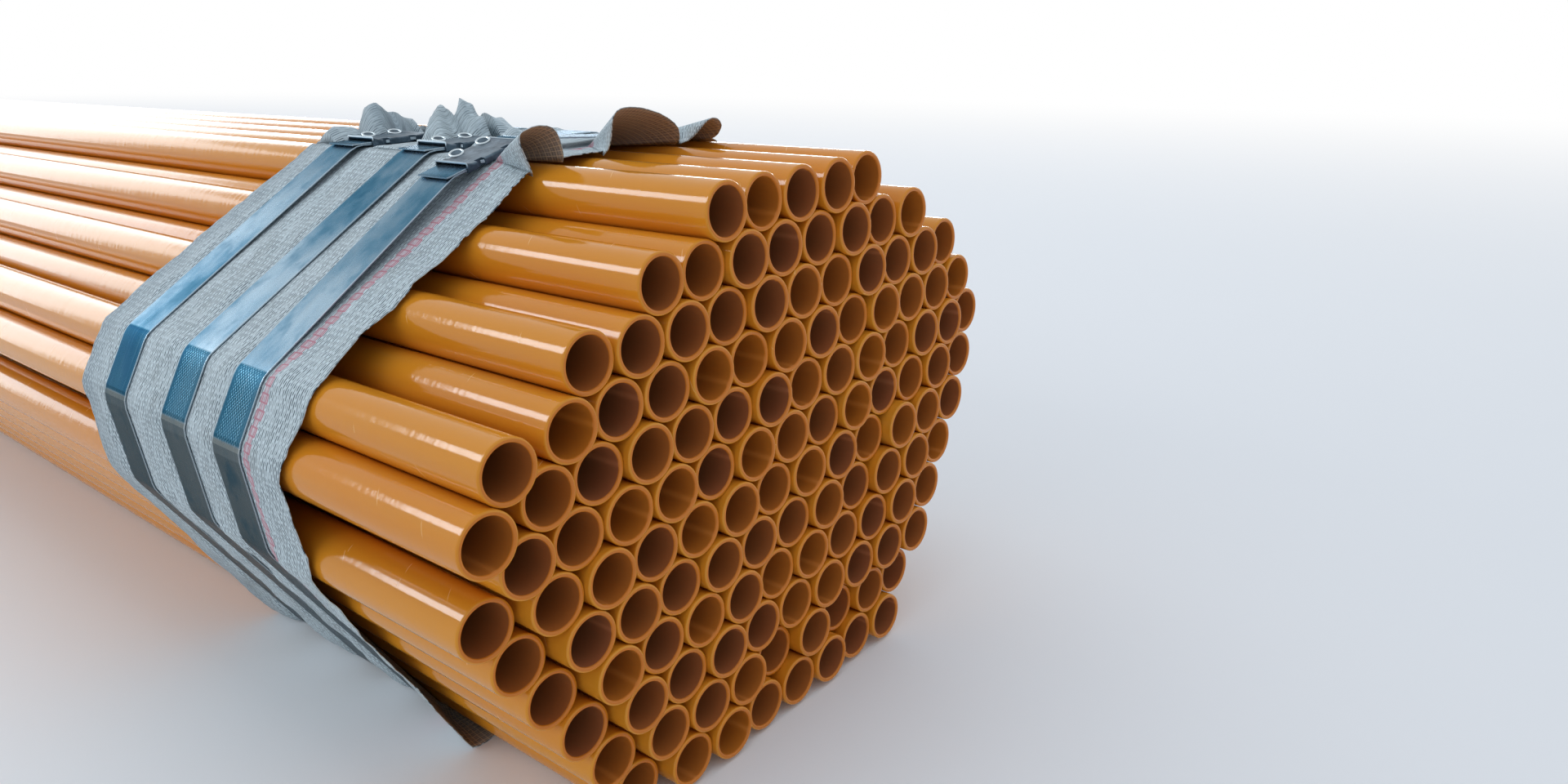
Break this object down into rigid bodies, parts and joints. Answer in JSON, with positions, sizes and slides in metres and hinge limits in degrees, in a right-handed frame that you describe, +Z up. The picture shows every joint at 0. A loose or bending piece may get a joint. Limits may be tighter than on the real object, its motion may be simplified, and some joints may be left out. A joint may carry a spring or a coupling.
{
  "type": "bundle of steel pipes",
  "caption": "Long bundle of coated round steel pipes, lying on its flat side and held by steel straps and crimped seals over wraps of woven fabric.",
  "frame": {"origin": "middle of the footprint, on the surface that the bundle lies on", "axes": "+Y along the pipes, away from the end that the picture shows; +X across the bundle, to the right when seen from that end; +Z up"},
  "size_m": [0.4877, 6.0204, 0.3912],
  "materials": {
    "pipe_coating": "glossy orange powder coat on steel",
    "wrap_fabric": "grey-white woven plastic fabric",
    "strap_steel": "blued steel band",
    "seal_steel": "dark crimped steel"
  },
  "bodies": {
    "root": {"pipe_row_01": "pipe_coating", "pipe_row_02": "pipe_coating", "pipe_row_03": "pipe_coating", "pipe_row_04": "pipe_coating", "pipe_row_05": "pipe_coating", "pipe_row_06": "pipe_coating", "pipe_row_07": "pipe_coating", "pipe_row_08": "pipe_coating", "pipe_row_09": "pipe_coating", "pipe_row_10": "pipe_coating", "pipe_row_11": "pipe_coating", "pipe_row_12": "pipe_coating", "seal_far_1": "seal_steel", "seal_far_2": "seal_steel", "seal_far_3": "seal_steel", "seal_middle_1": "seal_steel", "seal_middle_2": "seal_steel", "seal_middle_3": "seal_steel", "seal_near_1": "seal_steel", "seal_near_2": "seal_steel", "seal_near_3": "seal_steel", "strap_far_1": "strap_steel", "strap_far_2": "strap_steel", "strap_far_3": "strap_steel", "strap_middle_1": "strap_steel", "strap_middle_2": "strap_steel", "strap_middle_3": "strap_steel", "strap_near_1": "strap_steel", "strap_near_2": "strap_steel", "strap_near_3": "strap_steel", "wrap_far": "wrap_fabric", "wrap_middle": "wrap_fabric", "wrap_near": "wrap_fabric"}
  },
  "joints": []
}
